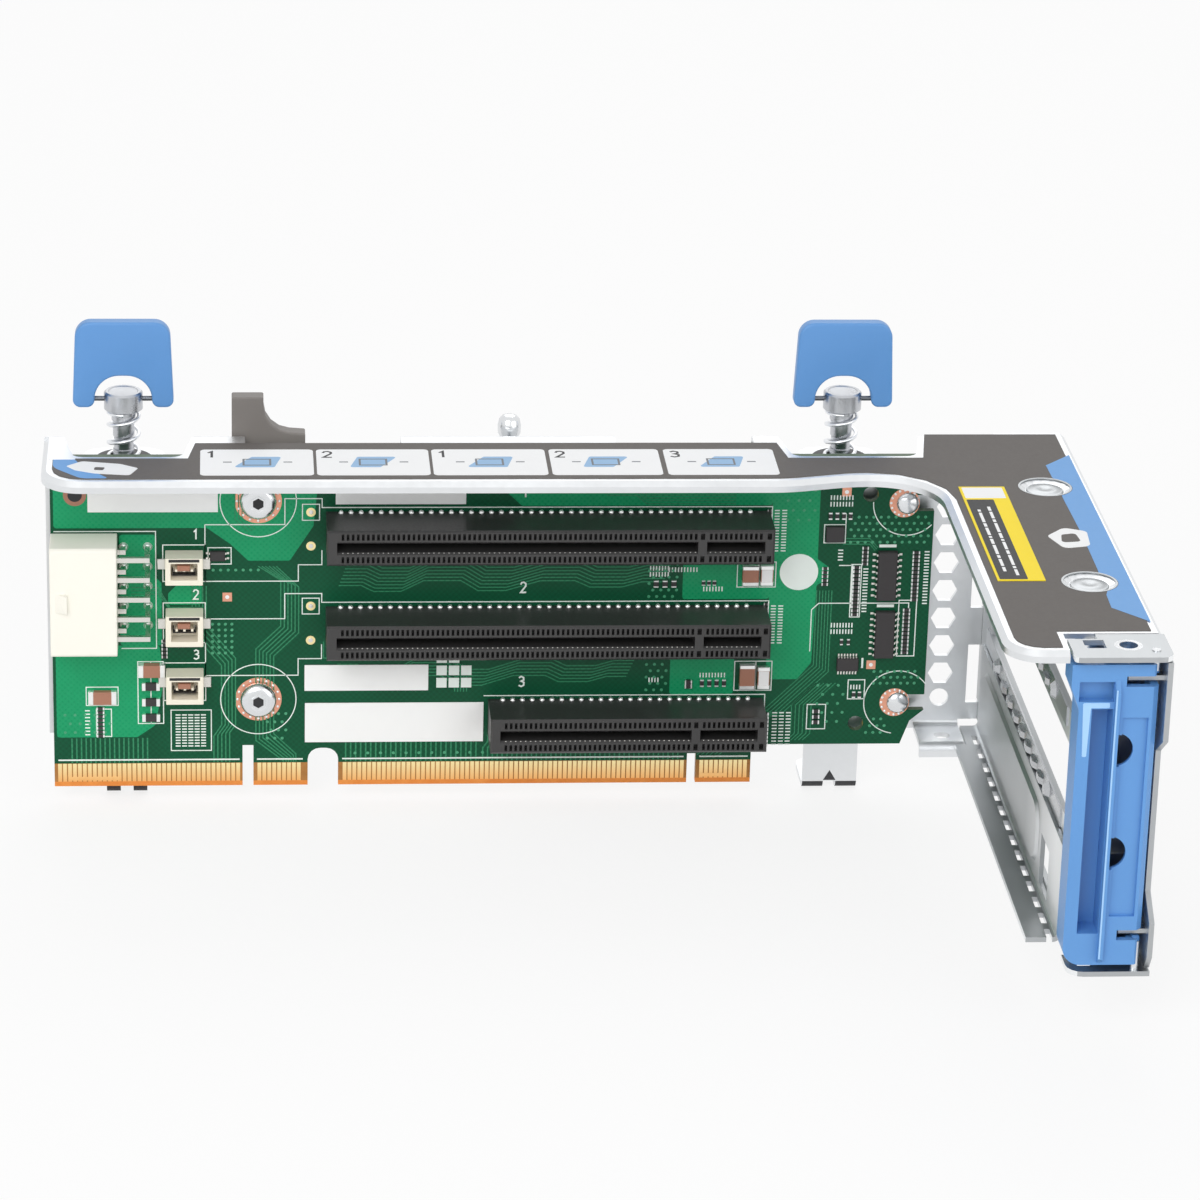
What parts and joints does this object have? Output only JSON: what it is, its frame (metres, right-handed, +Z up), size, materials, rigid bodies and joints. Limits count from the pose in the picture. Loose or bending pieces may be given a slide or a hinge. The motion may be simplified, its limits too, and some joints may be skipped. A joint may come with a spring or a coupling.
{
  "type": "server riser cage bracket",
  "caption": "Folded sheet-metal riser cage with a card-slot board, a bracket wall with a hinged blue retainer latch, and captive spring screws that turn by flip-up bails.",
  "frame": {"origin": "middle of the footprint, level with the undersides of the two feet", "axes": "+X along the card slots towards the bracket wall at the rear of the server, +Y away from the side where the cards plug in, +Z up"},
  "size_m": [0.2044, 0.1334, 0.0992],
  "materials": {
    "zinc_sheet": "zinc-plated sheet, satin",
    "bright_steel": "bright plated",
    "spring_steel": "drawn wire",
    "steel_pin": "turned",
    "dark_washer": "moulded, black",
    "blue_plastic": "moulded, satin blue",
    "grey_plastic": "moulded, dark grey",
    "black_plastic": "moulded, black",
    "white_plastic": "moulded, natural white",
    "circuit_board": "green solder mask over glass laminate",
    "tin_pin": "tinned",
    "chip_black": "moulded, black",
    "ceramic": "fired ceramic with tinned ends",
    "paper": "white label stock",
    "label_film": "printed film, dark grey",
    "caution_film": "printed film, yellow"
  },
  "bodies": {
    "cage": {"battery_headers": "white_plastic", "board_screws": "bright_steel", "board_stickers": "paper", "cable_guide": "grey_plastic", "cage_frame": "zinc_sheet", "chip_capacitors": "ceramic", "contact_strips": "bright_steel", "guide_bush": "bright_steel", "guide_stud": "bright_steel", "hinge_pins": "steel_pin", "hook_studs": "bright_steel", "left_seat_ring": "dark_washer", "logic_chips": "chip_black", "lower_slot": "black_plastic", "middle_slot": "black_plastic", "power_header": "white_plastic", "power_pins": "tin_pin", "rear_wall": "zinc_sheet", "right_seat_ring": "dark_washer", "riser_board": "circuit_board", "side_label": "caution_film", "slot_cover": "zinc_sheet", "standoffs": "bright_steel", "top_label": "label_film", "upper_slot": "black_plastic"},
    "retainer_latch": {"retainer_latch": "blue_plastic"},
    "left_plunger": {"left_spring": "spring_steel"},
    "left_screw": {"left_screw": "steel_pin", "left_clip": "steel_pin", "left_bail_pin": "steel_pin"},
    "left_bail": {"left_bail": "blue_plastic"},
    "right_plunger": {"right_spring": "spring_steel"},
    "right_screw": {"right_screw": "steel_pin", "right_clip": "steel_pin", "right_bail_pin": "steel_pin"},
    "right_bail": {"right_bail": "blue_plastic"}
  },
  "joints": [
    {"name": "left_screw_press", "type": "slide", "parent": "cage", "child": "left_plunger", "axis": [0, 0, 1], "range_m": [-0.003, 0], "stiffness_N_per_m": 2000, "springref_m": 0.001, "deforming": ["left_spring"]},
    {"name": "left_screw_turn", "type": "hinge", "parent": "left_plunger", "child": "left_screw", "pos_m": [-0.0867, 0.05915, 0.0698], "axis": [0, 0, 1], "continuous": true},
    {"name": "left_bail_fold", "type": "hinge", "parent": "left_screw", "child": "left_bail", "pos_m": [-0.0867, 0.05915, 0.0829], "axis": [1, 0, 0], "range_deg": [-90, 90]},
    {"name": "right_screw_press", "type": "slide", "parent": "cage", "child": "right_plunger", "axis": [0, 0, 1], "range_m": [-0.003, 0], "stiffness_N_per_m": 2000, "springref_m": 0.001, "deforming": ["right_spring"]},
    {"name": "right_screw_turn", "type": "hinge", "parent": "right_plunger", "child": "right_screw", "pos_m": [0.0576, 0.05915, 0.0698], "axis": [0, 0, 1], "continuous": true},
    {"name": "right_bail_fold", "type": "hinge", "parent": "right_screw", "child": "right_bail", "pos_m": [0.0576, 0.05915, 0.0829], "axis": [1, 0, 0], "range_deg": [-90, 90]},
    {"name": "latch_swing", "type": "hinge", "parent": "cage", "child": "retainer_latch", "pos_m": [0.0994, -0.06325, 0.0458], "axis": [0, 0, 1], "range_deg": [0, 90]}
  ]
}
